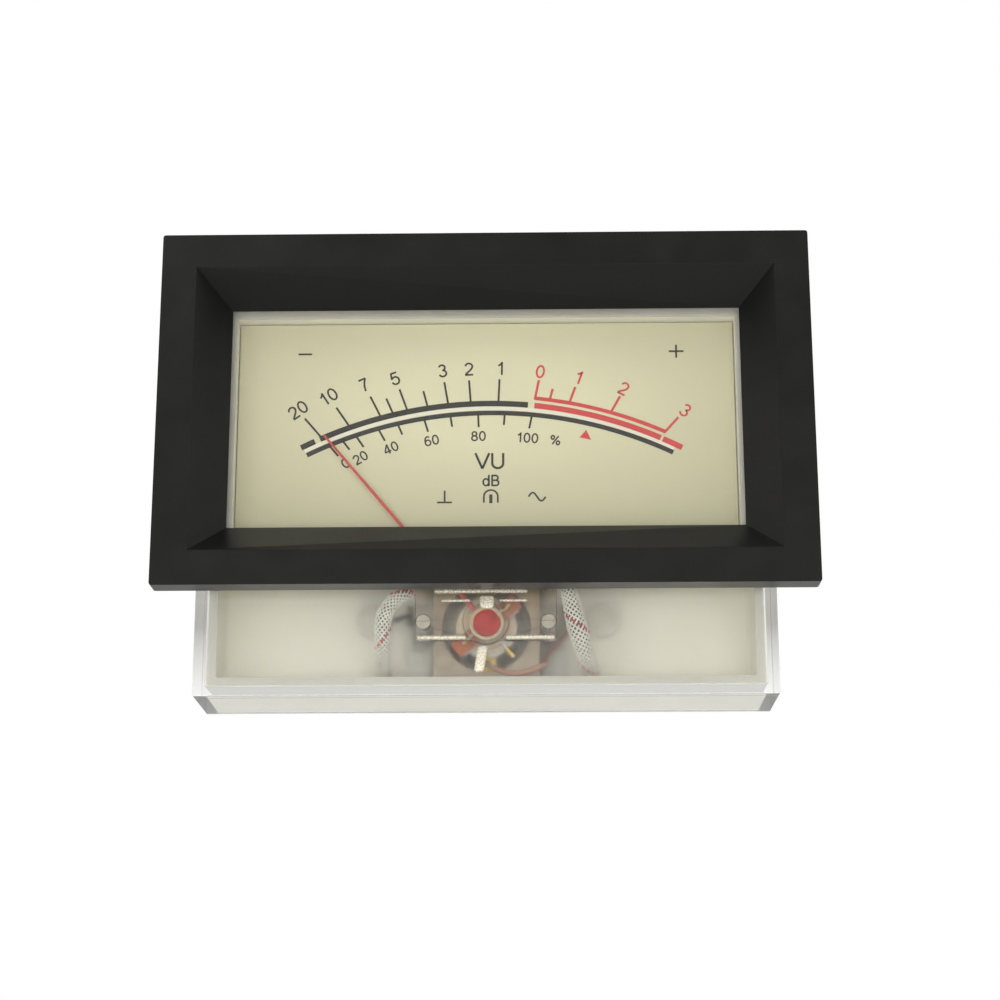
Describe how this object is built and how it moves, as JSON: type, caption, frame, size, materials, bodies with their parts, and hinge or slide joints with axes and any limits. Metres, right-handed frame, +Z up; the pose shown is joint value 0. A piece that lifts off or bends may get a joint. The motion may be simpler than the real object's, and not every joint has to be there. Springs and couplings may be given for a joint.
{
  "type": "analog vu meter",
  "caption": "Panel-mounted analog level meter: black window frame, clear cover, printed dial, moving-coil pointer and rear terminals.",
  "frame": {"origin": "middle of the window frame, on the plane where its flange lies on the front of the panel", "axes": "+X to the right along the long side, +Y into the panel, +Z up; the dial faces -Y"},
  "size_m": [0.12, 0.0376, 0.0859],
  "materials": {
    "frame_black": "satin moulded black",
    "tape_black": "matt adhesive foam",
    "cover_clear": "clear moulded polystyrene, polished edges",
    "tray_white": "translucent off-white moulding",
    "dial_cream": "cream translucent sheet, printed",
    "plated_steel": "zinc plated",
    "holder_rubber": "soft white rubber",
    "cap_alloy": "spun aluminium",
    "bulb_glass": "clear blown glass",
    "braid_white": "braided glass-fibre sleeve with a red tracer",
    "brass": "turned brass",
    "lead_red": "red lead insulation",
    "lead_black": "black lead insulation",
    "plate_alloy": "stamped aluminium",
    "yoke_iron": "soft iron, passivated",
    "magnet": "ground magnet alloy",
    "bridge_clear": "clear moulded bridge",
    "jewel_ruby": "synthetic ruby",
    "lacquer_red": "red sealing lacquer",
    "pointer_red": "red painted aluminium needle",
    "coil_copper": "enamelled copper wire",
    "spring_bronze": "phosphor bronze strip"
  },
  "bodies": {
    "case": {"bezel_frame": "frame_black", "bezel_adhesive": "tape_black", "front_cover": "cover_clear", "base_tray": "tray_white", "dial_plate": "dial_cream", "dial_screws": "plated_steel", "stop_pegs": "plate_alloy", "lamp_holders": "holder_rubber", "lamp_caps": "cap_alloy", "lamp_bulb_left": "bulb_glass", "lamp_bulb_right": "bulb_glass", "lamp_sleeve_left": "braid_white", "lamp_sleeve_right": "braid_white", "lamp_pins": "brass", "terminal_studs": "brass", "terminal_washers": "plated_steel", "solder_lugs": "brass", "terminal_nuts": "brass", "signal_lead_red": "lead_red", "signal_lead_black": "lead_black", "movement_plate": "plate_alloy", "yoke": "yoke_iron", "yoke_screws": "plated_steel", "core_magnet": "magnet", "core_clamps": "brass", "pillars": "brass", "rear_spacers": "brass", "front_bridge": "bridge_clear", "bridge_screws": "plated_steel", "front_jewel_screw": "brass", "front_jewel": "jewel_ruby", "sealing_lacquer": "lacquer_red", "rear_bridge": "brass", "rear_jewel_screw": "brass", "rear_jewel": "jewel_ruby", "rear_jewel_nut": "brass", "friction_washer": "plated_steel", "front_hairspring": "spring_bronze"},
    "pointer_movement": {"pointer": "pointer_red", "pointer_hub": "plate_alloy", "balance_weights": "plated_steel", "coil_former": "plate_alloy", "coil_winding": "coil_copper", "front_pivot": "plated_steel", "rear_pivot": "plated_steel"},
    "zero_adjuster": {"zero_lever": "brass", "rear_hairspring": "spring_bronze"}
  },
  "joints": [
    {"name": "pointer_swing", "type": "hinge", "parent": "case", "child": "pointer_movement", "pos_m": [0, 0.016, -0.0384], "axis": [0, 1, 0], "range_deg": [-2, 88], "stiffness_Nm_per_rad": 0.0001, "deforming": ["front_hairspring", "rear_hairspring"]},
    {"name": "zero_adjust", "type": "hinge", "parent": "case", "child": "zero_adjuster", "pos_m": [0, 0.0245, -0.0384], "axis": [0, 1, 0], "range_deg": [-8, 8], "deforming": ["rear_hairspring"]}
  ]
}
